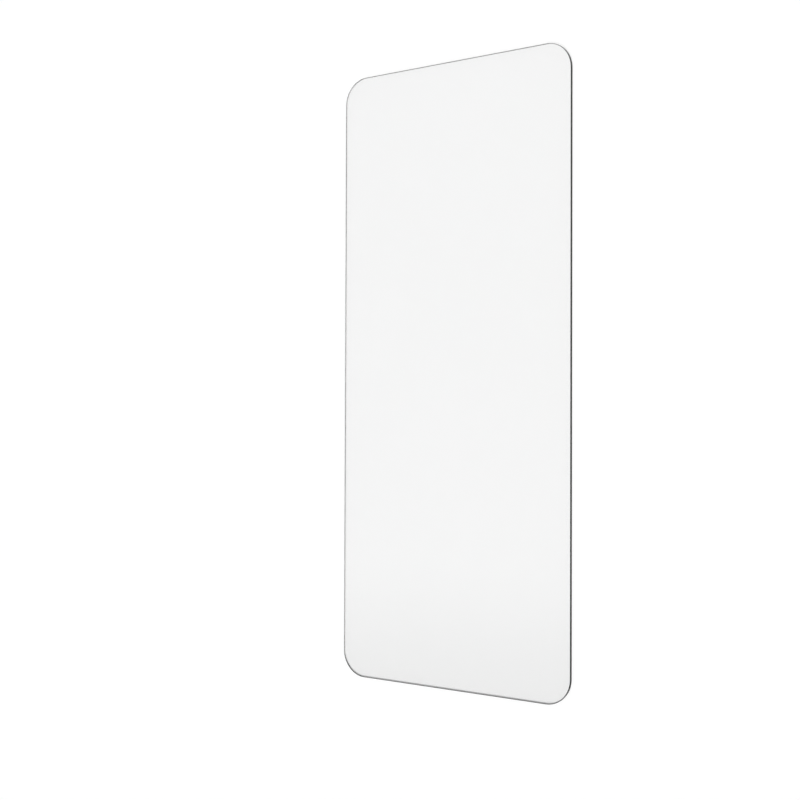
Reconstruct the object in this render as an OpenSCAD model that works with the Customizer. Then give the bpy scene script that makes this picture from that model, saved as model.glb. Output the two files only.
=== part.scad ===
// Phone screen protector: one thin sheet of toughened glass that covers the front of a phone.
// It lies on its bonding face with its front up. X runs across the width, Y runs along the
// length with the top end towards +Y, and Z = 0 is the face that bonds to the screen.

/* [Sheet] */
// Length from the bottom end to the top end
sheet_length = 154; // [130:0.5:172]
// Width from side to side
sheet_width = 66; // [58:0.5:80]
// Thickness from the bonding face to the front face
sheet_thickness = 0.65; // [0.4:0.05:1]
// Radius of the four corners, seen from the front
corner_radius = 6.5; // [3:0.25:12]

/* [Ground edge] */
// Width of the crowned band round the front, measured in from the rim
crown_width = 0.14; // [0.12:0.01:0.4]
// How far the crowned band has fallen where it meets the rim
crown_drop = 0.1; // [0.03:0.01:0.12]
// Leg of the small flat chamfer round the bonding face
arris_leg = 0.04; // [0.02:0.01:0.1]

/* [Glass] */
// Tint of the glass as red, green and blue
glass_tint = [0.93, 0.95, 0.95];
// How solid the glass is drawn
glass_opacity = 0.6; // [0.1:0.05:1]

/* [Hidden] */
$fn = 96;

// Spare reach of a cutting shape past what it cuts
cut_over = 0.1;
// Straight runs of rim between the corner arcs
long_run = sheet_length - 2 * corner_radius;
short_run = sheet_width - 2 * corner_radius;
// Radius of the arc that leaves the front face level and meets the rim after the crown's drop
crown_arc = (crown_width * crown_width + crown_drop * crown_drop) / (2 * crown_drop);

// Section of the sheet's margin, from the centre of a corner arc at X = 0 out to the rim.
module edge_section() {
    difference() {
        square([corner_radius, sheet_thickness]);
        crown_cut();
        arris_cut();
    }
}

// What the grinding wheel takes off the front edge, above the crown's arc.
module crown_cut() {
    crown_start = corner_radius - crown_width;
    difference() {
        translate([crown_start, sheet_thickness - crown_drop])
            square([crown_width + cut_over, crown_drop + cut_over]);
        translate([crown_start, sheet_thickness - crown_arc])
            circle(r = crown_arc);
    }
}

// What breaks the sharp edge round the bonding face.
module arris_cut() {
    polygon([
        [corner_radius - arris_leg - cut_over, -cut_over],
        [corner_radius + cut_over, -cut_over],
        [corner_radius + cut_over, arris_leg + cut_over]
    ]);
}

// A straight side: the margin's section drawn along the rim, facing the way it is turned.
module straight_margin(run, offset_from_centre, facing) {
    rotate([0, 0, facing])
        translate([offset_from_centre, 0, 0])
            rotate([90, 0, 0])
                linear_extrude(height = run, center = true)
                    edge_section();
}

// A rounded corner: the same section swept through a quarter turn.
module corner_margin(across, along, facing) {
    translate([across * short_run / 2, along * long_run / 2, 0])
        rotate([0, 0, facing])
            rotate_extrude(angle = 90)
                edge_section();
}

module glass_sheet() {
    color(glass_tint, glass_opacity) {
        translate([-short_run / 2, -long_run / 2, 0])
            cube([short_run, long_run, sheet_thickness]);
        for (facing = [0, 180])
            straight_margin(long_run, short_run / 2, facing);
        for (facing = [90, 270])
            straight_margin(short_run, long_run / 2, facing);
        corner_margin(1, 1, 0);
        corner_margin(-1, 1, 90);
        corner_margin(-1, -1, 180);
        corner_margin(1, -1, 270);
    }
}

glass_sheet();
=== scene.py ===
import math

import bpy
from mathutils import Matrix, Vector


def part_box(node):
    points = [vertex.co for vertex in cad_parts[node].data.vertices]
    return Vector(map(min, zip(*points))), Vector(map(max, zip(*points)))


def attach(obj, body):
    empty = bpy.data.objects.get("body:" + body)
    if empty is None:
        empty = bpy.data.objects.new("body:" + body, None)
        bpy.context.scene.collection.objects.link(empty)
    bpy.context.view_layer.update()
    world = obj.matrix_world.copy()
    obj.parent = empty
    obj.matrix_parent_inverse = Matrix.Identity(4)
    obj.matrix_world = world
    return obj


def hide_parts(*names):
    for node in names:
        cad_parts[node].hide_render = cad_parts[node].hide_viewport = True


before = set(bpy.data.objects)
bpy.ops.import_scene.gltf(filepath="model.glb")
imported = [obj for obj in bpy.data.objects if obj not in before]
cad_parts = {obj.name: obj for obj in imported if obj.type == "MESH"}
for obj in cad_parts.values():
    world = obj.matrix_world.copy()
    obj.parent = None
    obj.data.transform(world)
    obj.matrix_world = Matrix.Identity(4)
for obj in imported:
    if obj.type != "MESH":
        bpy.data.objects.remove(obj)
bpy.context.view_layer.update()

MM = 0.001

# Sizes of the sheet's margin, the same as the solid's
CORNER_RADIUS = 6.5 * MM
CROWN_WIDTH = 0.14 * MM
CROWN_DROP = 0.1 * MM
ARRIS_LEG = 0.04 * MM
# How far polishing eases the break at the foot of the crown, and those at the chamfer
CROWN_EASE = 0.03 * MM
ARRIS_EASE = 0.015 * MM

# Width of the plain glass between the crown and the first inner ring of the mesh
FACE_MARGIN = 0.6 * MM
# Steps of the mesh round a corner, along the sides, up the crown and round an eased break
CORNER_STEPS = 32
LONG_STEPS = 28
SHORT_STEPS = 12
CROWN_STEPS = 12
EASE_STEPS = 4
# Places of the mesh that are closer than this are one place
SAME_PLACE = 0.0001 * MM
# Faces that lie no deeper than this behind the rim belong to its upright land
LAND_DEPTH = 0.001 * MM

# The finishes, in the order in which the sheet holds them
FACE_SLOT, CROWN_SLOT, RIM_SLOT = 0, 1, 2
GLASS_IOR = 1.5
# How close the grinding marks lie along the edge and up it, for each metre
MARKS_ALONG = 260.0
MARKS_UP = 60000.0
# Height of the relief that the marks leave
MARKS_RELIEF = 0.01 * MM
# How close the faint clouds in the polished faces lie, for each metre
CLOUDS = 22.0

# The table: half its side, how far it lies under the sheet, its white and its added light
TABLE_REACH = 6.0
TABLE_GAP = 0.02 * MM
TABLE_WHITE = 0.95
TABLE_LIFT = 0.03

# Heights between which the white of the walls fades into the ceiling, for a way of length 1
WALL_TOP, WALL_FULL = 0.5, 0.28
CEILING_GREY = 0.1
# A white panel takes up the ceiling at the left. Each pair is where it starts to show and is full.
PANEL_ACROSS = (-0.2, -0.42)
PANEL_ALONG = (-0.215, -0.1)

# The lamp: the way towards it, its strength and how wide it looks, in degrees
LAMP_WAY = (-0.12, -0.7, 1.15)
LAMP_STRENGTH = 2.43
LAMP_ANGLE = 8

# The camera, fitted to the outline of the sheet in the photo. Its turn is in degrees.
CAMERA_PLACE = (0.174583, -0.010974, 0.265013)
CAMERA_TURN = (0.994, 35.692, 0.238)
CAMERA_LENS = 58.21
CAMERA_SENSOR = 36.0
CAMERA_CLIP = 0.01


# Shading in plain sums

class Value:
    """A shader socket that can be used in sums. Each sum adds its own Math node."""

    def __init__(self, shading, socket):
        self.shading = shading
        self.socket = socket

    def joined(self, operation, first, second):
        return self.shading.node("Math", dict(operation=operation), first, second)

    def __add__(self, other):
        return self.joined("ADD", self, other)

    def __radd__(self, other):
        return self.joined("ADD", other, self)

    def __rsub__(self, other):
        return self.joined("SUBTRACT", other, self)

    def __mul__(self, other):
        return self.joined("MULTIPLY", self, other)

    def __rmul__(self, other):
        return self.joined("MULTIPLY", other, self)


class Shading:
    """The node tree of one material or of the surroundings, emptied and ready to be filled."""

    def __init__(self, owner):
        owner.use_nodes = True
        self.nodes = owner.node_tree.nodes
        self.links = owner.node_tree.links
        self.nodes.clear()

    def node(self, kind, settings=None, *values, out=0, **named):
        """Adds a node: its settings first, then its sockets by place or by name. Gives one output."""
        made = self.nodes.new("ShaderNode" + kind)
        for key, value in (settings or {}).items():
            if key == "stops":
                self.set_stops(made.color_ramp, value)
            else:
                setattr(made, key, value)
        for place, value in enumerate(values):
            self.feed(made.inputs[place], value)
        for name, value in named.items():
            self.feed(made.inputs[name.replace("_", " ")], value)
        return Value(self, made.outputs[out]) if len(made.outputs) else None

    def feed(self, socket, value):
        """Links a socket to a value that changes, or sets it to one that doesn't."""
        if isinstance(value, Value):
            self.links.new(value.socket, socket)
        else:
            socket.default_value = value

    def set_stops(self, ramp, stops):
        """Gives a new ramp these places and colours."""
        while len(ramp.elements) > 1:
            ramp.elements.remove(ramp.elements[-1])
        ramp.elements[0].position, ramp.elements[0].color = stops[0][0], (*stops[0][1], 1)
        for place, colour in stops[1:]:
            ramp.elements.new(place).color = (*colour, 1)


def new_material(name):
    material = bpy.data.materials.new(name)
    return material, Shading(material)


def grey(level):
    return (level, level, level, 1)


# The sheet's section

def eased_break(before, corner, after):
    """Points and normals of a curve that leaves one ground face and joins the next."""
    points = []
    for step in range(EASE_STEPS + 1):
        t = step / EASE_STEPS
        place = before * (1 - t) ** 2 + corner * 2 * t * (1 - t) + after * t * t
        along = (corner - before) * (1 - t) + (after - corner) * t
        points.append((place, Vector((along.y, -along.x)).normalized()))
    return points


def rim_section(thickness):
    """The margin's section from the bonding face round the rim to the front face.

    Each point is its reach from the centre of a corner arc and its height, with its normal.
    """
    reach = CORNER_RADIUS
    down, up = Vector((0, -1)), Vector((0, 1))
    crown_arc = (CROWN_WIDTH ** 2 + CROWN_DROP ** 2) / (2 * CROWN_DROP)
    crown_centre = Vector((reach - CROWN_WIDTH, thickness - crown_arc))
    steepest = math.asin(CROWN_WIDTH / crown_arc)

    def on_crown(lean):
        normal = Vector((math.sin(lean), math.cos(lean)))
        return crown_centre + normal * crown_arc, normal

    low_break = Vector((reach - ARRIS_LEG, 0))
    high_break = Vector((reach, ARRIS_LEG))
    arris = (high_break - low_break).normalized()
    rim_top = Vector((reach, thickness - CROWN_DROP))
    crown_start = steepest - CROWN_EASE / crown_arc
    inner_end = reach - CROWN_WIDTH - FACE_MARGIN

    section = [(Vector((inner_end, 0)), down)]
    section += eased_break(low_break - Vector((ARRIS_EASE, 0)), low_break,
                           low_break + arris * ARRIS_EASE)
    section += eased_break(high_break - arris * ARRIS_EASE, high_break,
                           high_break + Vector((0, ARRIS_EASE)))
    section += eased_break(rim_top - Vector((0, CROWN_EASE)), rim_top, on_crown(crown_start)[0])
    for step in range(1, CROWN_STEPS + 1):
        section.append(on_crown(crown_start * (1 - step / CROWN_STEPS)))
    section.append((Vector((inner_end, thickness)), up))
    return section


# The sheet's outline

def stations(x, y):
    """Places round the sheet: a point of the rectangle through the corner centres, and the way out."""
    sides = [
        ((x, -y), (x, y), 0, LONG_STEPS),
        ((x, y), (-x, y), 90, SHORT_STEPS),
        ((-x, y), (-x, -y), 180, LONG_STEPS),
        ((-x, -y), (x, -y), 270, SHORT_STEPS),
    ]
    places = []
    for start, end, facing, steps in sides:
        way_out = Vector((math.cos(math.radians(facing)), math.sin(math.radians(facing))))
        for step in range(steps + 1):
            places.append((Vector(start).lerp(Vector(end), step / steps), way_out))
        for step in range(1, CORNER_STEPS):
            turn = math.radians(facing + 90 * step / CORNER_STEPS)
            places.append((Vector(end), Vector((math.cos(turn), math.sin(turn)))))
    return places


class SheetMesh:
    """The sheet as one closed mesh, with the true normals of its ground faces."""

    def __init__(self, low, high):
        self.low, self.high = low.z, high.z
        self.x = (high.x - low.x) / 2 - CORNER_RADIUS
        self.y = (high.y - low.y) / 2 - CORNER_RADIUS
        self.section = rim_section(self.high - self.low)
        self.stations = stations(self.x, self.y)
        self.points, self.normals, self.faces, self.slots = [], [], [], []
        self.add_rings()
        self.add_margin()
        self.add_flat(0, self.low, -1)
        self.add_flat(len(self.section) - 1, self.high, 1)

    def add_rings(self):
        """Each point of the section, carried round the sheet."""
        for place, lean in self.section:
            for core, way_out in self.stations:
                spot = core + way_out * place.x
                self.points.append((spot.x, spot.y, self.low + place.y))
                self.normals.append((way_out.x * lean.x, way_out.y * lean.x, lean.y))

    def add_margin(self):
        """The faces between the rings: plain glass at both ends, and the ground edge between them."""
        around = len(self.stations)
        last = len(self.section) - 2
        for ring in range(last + 1):
            least_reach = min(self.section[ring][0].x, self.section[ring + 1][0].x)
            if ring in (0, last):
                slot = FACE_SLOT
            elif CORNER_RADIUS - least_reach < LAND_DEPTH:
                slot = RIM_SLOT
            else:
                slot = CROWN_SLOT
            below, above = ring * around, (ring + 1) * around
            for i in range(around):
                j = (i + 1) % around
                self.faces.append((below + i, below + j, above + j, above + i))
                self.slots.append(slot)

    def add_flat(self, ring, height, up):
        """The flat face inside a ring: a band in to the corner centres, and a grid within it."""
        found = {}

        def core_point(x, y):
            key = (round(x / SAME_PLACE), round(y / SAME_PLACE))
            if key not in found:
                found[key] = len(self.points)
                self.points.append((x, y, height))
                self.normals.append((0, 0, up))
            return found[key]

        def add_face(*corners):
            kept = list(dict.fromkeys(corners))
            self.faces.append(tuple(kept if up > 0 else reversed(kept)))
            self.slots.append(FACE_SLOT)

        around = len(self.stations)
        for i in range(around):
            j = (i + 1) % around
            first, second = self.stations[i][0], self.stations[j][0]
            add_face(ring * around + i, ring * around + j,
                     core_point(second.x, second.y), core_point(first.x, first.y))
        xs = [-self.x + 2 * self.x * i / SHORT_STEPS for i in range(SHORT_STEPS + 1)]
        ys = [-self.y + 2 * self.y * i / LONG_STEPS for i in range(LONG_STEPS + 1)]
        for xa, xb in zip(xs, xs[1:]):
            for ya, yb in zip(ys, ys[1:]):
                add_face(core_point(xa, ya), core_point(xb, ya), core_point(xb, yb), core_point(xa, yb))

    def build(self, name):
        """Makes the mesh, with its finishes by slot and its normals by point."""
        mesh = bpy.data.meshes.new(name)
        mesh.from_pydata(self.points, [], self.faces)
        mesh.polygons.foreach_set("material_index", self.slots)
        mesh.polygons.foreach_set("use_smooth", [True] * len(self.faces))
        mesh.update()
        mesh.normals_split_custom_set_from_vertices(self.normals)
        return mesh


# Finishes of the sheet

def passed_light(shading, glass, tint, held=None):
    """Lets the light of lamps and of the room go straight through glass to what it lies on.

    Where a lamp's light comes in, the tint for held light is used. A ray towards the lamp leaves
    the glass there, so it meets the back of a face.
    """
    for_room = shading.node("BsdfTransparent", None, tint)
    for_lamp = for_room
    if held:
        leaving = shading.node("NewGeometry", out="Backfacing")
        for_lamp = shading.node("MixShader", None, leaving, for_room,
                                shading.node("BsdfTransparent", None, held))
    lamp = shading.node("LightPath", out="Is Shadow Ray")
    room = shading.node("LightPath", out="Is Diffuse Ray")
    seen = shading.node("MixShader", None, room, glass, for_room)
    shading.node("OutputMaterial", None, shading.node("MixShader", None, lamp, seen, for_lamp))


def polished_faces():
    """The two flat faces: clear, with a faint cloud in their tint."""
    material, shading = new_material("polished_faces")
    spot = shading.node("TexCoord", out="Object")
    cloud = shading.node("TexNoise", dict(noise_dimensions="3D"), Vector=spot, Scale=CLOUDS,
                         Detail=2.0, Roughness=0.4)
    tint = shading.node("ValToRGB", dict(stops=[(0.35, (0.926, 0.928, 0.927)),
                                                (0.65, (0.930, 0.931, 0.931))]), cloud)
    glass = shading.node("BsdfPrincipled", None, Base_Color=tint, Roughness=0.0, IOR=GLASS_IOR,
                         Transmission_Weight=1.0)
    passed_light(shading, glass, grey(0.985))
    return material


def ground_glass_with_painted_shade(name, tint, gloss, passed, held):
    """Glass as the wheel leaves it: a fine polish with faint marks that run along the edge. Its dark
    tint is painted shade.
    """
    material, shading = new_material(name)
    spot = shading.node("TexCoord", out="Object")
    drawn_out = shading.node("VectorMath", dict(operation="MULTIPLY"), spot,
                             (MARKS_ALONG, MARKS_ALONG, MARKS_UP))
    marks = shading.node("TexNoise", dict(noise_dimensions="3D"), Vector=drawn_out, Scale=1.0,
                         Detail=2.0, Roughness=0.5)
    polish = 0.03 + 0.05 * marks
    relief = shading.node("Bump", None, Strength=0.08, Distance=MARKS_RELIEF, Height=marks)
    # The dark tint in the base colour is painted shade: it stands in for the dark line at the edge
    glass = shading.node("BsdfPrincipled", None, Base_Color=grey(tint), Roughness=polish,
                         IOR=GLASS_IOR, Transmission_Weight=1.0, Specular_Tint=grey(gloss),
                         Normal=relief)
    passed_light(shading, glass, grey(passed), grey(held))
    return material


def polished_crown_painted_dark():
    """The crown, the chamfer and the eased breaks: dark to look into, with a full gloss. The near-black
    tint that makes them dark is painted shade.
    """
    # Painted shade: a near-black tint for the dark line that the edge shows
    return ground_glass_with_painted_shade("polished_crown_painted_dark", tint=0.002, gloss=1.0, passed=0.9, held=0.9)


def ground_rim_painted_dark():
    """The upright land: it keeps a lamp's light out, and mirrors little but what grazes it. Its dark
    tint and its weak mirroring are painted shade.
    """
    # Painted shade: a dark tint, and a gloss of 0 that turns its mirroring down
    return ground_glass_with_painted_shade("ground_rim_painted_dark", tint=0.05, gloss=0.0, passed=0.85, held=0.03)


def lay_glass():
    mesh = SheetMesh(*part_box("glass_sheet")).build("glass_sheet_shown")
    sheet = bpy.data.objects.new("glass_sheet_shown", mesh)
    bpy.context.collection.objects.link(sheet)
    for finish in (polished_faces(), polished_crown_painted_dark(), ground_rim_painted_dark()):
        sheet.data.materials.append(finish)
    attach(sheet, "root")
    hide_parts("glass_sheet")


# The stage

def table_white():
    """A pale matt table that the camera sees as white, with the sheet's shadow kept."""
    material, shading = new_material("table_white")
    matt = shading.node("BsdfDiffuse", None, grey(TABLE_WHITE))
    camera = shading.node("LightPath", out="Is Camera Ray")
    glossy = shading.node("LightPath", out="Is Glossy Ray")
    passed = shading.node("LightPath", out="Is Transmission Ray")
    seen = shading.node("Math", dict(operation="MAXIMUM"), camera,
                        shading.node("Math", dict(operation="MAXIMUM"), glossy, passed))
    lift = shading.node("Emission", None, grey(1), TABLE_LIFT)
    lifted = shading.node("AddShader", None, matt, lift)
    shading.node("OutputMaterial", None, shading.node("MixShader", None, seen, matt, lifted))
    return material


def lay_table():
    mesh = bpy.data.meshes.new("table_top")
    sides = ((-1, -1), (1, -1), (1, 1), (-1, 1))
    corners = [(x * TABLE_REACH, y * TABLE_REACH, -TABLE_GAP) for x, y in sides]
    mesh.from_pydata(corners, [], [(0, 1, 2, 3)])
    table = bpy.data.objects.new("table_top", mesh)
    bpy.context.collection.objects.link(table)
    table.data.materials.append(table_white())


def paint_the_room():
    """White walls round the table, under a darker ceiling with a white panel at the left."""
    world = bpy.data.worlds.new("studio")
    bpy.context.scene.world = world
    shading = Shading(world)
    way = shading.node("TexCoord", out="Generated")
    across, along, height = [shading.node("SeparateXYZ", None, way, out=axis) for axis in "XYZ"]

    def fade(value, start, end):
        return shading.node("MapRange", dict(interpolation_type="SMOOTHSTEP"), value, start, end)

    wall = fade(height, WALL_TOP, WALL_FULL)
    panel = fade(across, *PANEL_ACROSS) * fade(along, *PANEL_ALONG)
    above = CEILING_GREY + (1 - CEILING_GREY) * panel
    shade = wall + (1 - wall) * above
    shading.node("OutputWorld", None, shading.node("Background", None, shade, 1.0))


def hang_the_lamp():
    """One lamp like a soft sun, beyond the bottom end of the sheet."""
    lamp = bpy.data.lights.new("key_lamp", "SUN")
    lamp.angle = math.radians(LAMP_ANGLE)
    lamp.energy = LAMP_STRENGTH
    holder = bpy.data.objects.new("key_lamp", lamp)
    bpy.context.collection.objects.link(holder)
    holder.rotation_euler = Vector(LAMP_WAY).to_track_quat("Z", "Y").to_euler()
    # The bare lamp would stand as a hard white disc in the polished face
    holder.visible_glossy = holder.visible_transmission = False


def set_camera():
    data = bpy.data.cameras.new("camera")
    data.sensor_width = CAMERA_SENSOR
    data.lens = CAMERA_LENS
    data.clip_start = CAMERA_CLIP
    camera = bpy.data.objects.new("camera", data)
    bpy.context.collection.objects.link(camera)
    camera.location = CAMERA_PLACE
    camera.rotation_euler = [math.radians(turn) for turn in CAMERA_TURN]
    bpy.context.scene.camera = camera


lay_table()
paint_the_room()
hang_the_lamp()
lay_glass()
set_camera()
bpy.context.scene.view_settings.view_transform = "Standard"
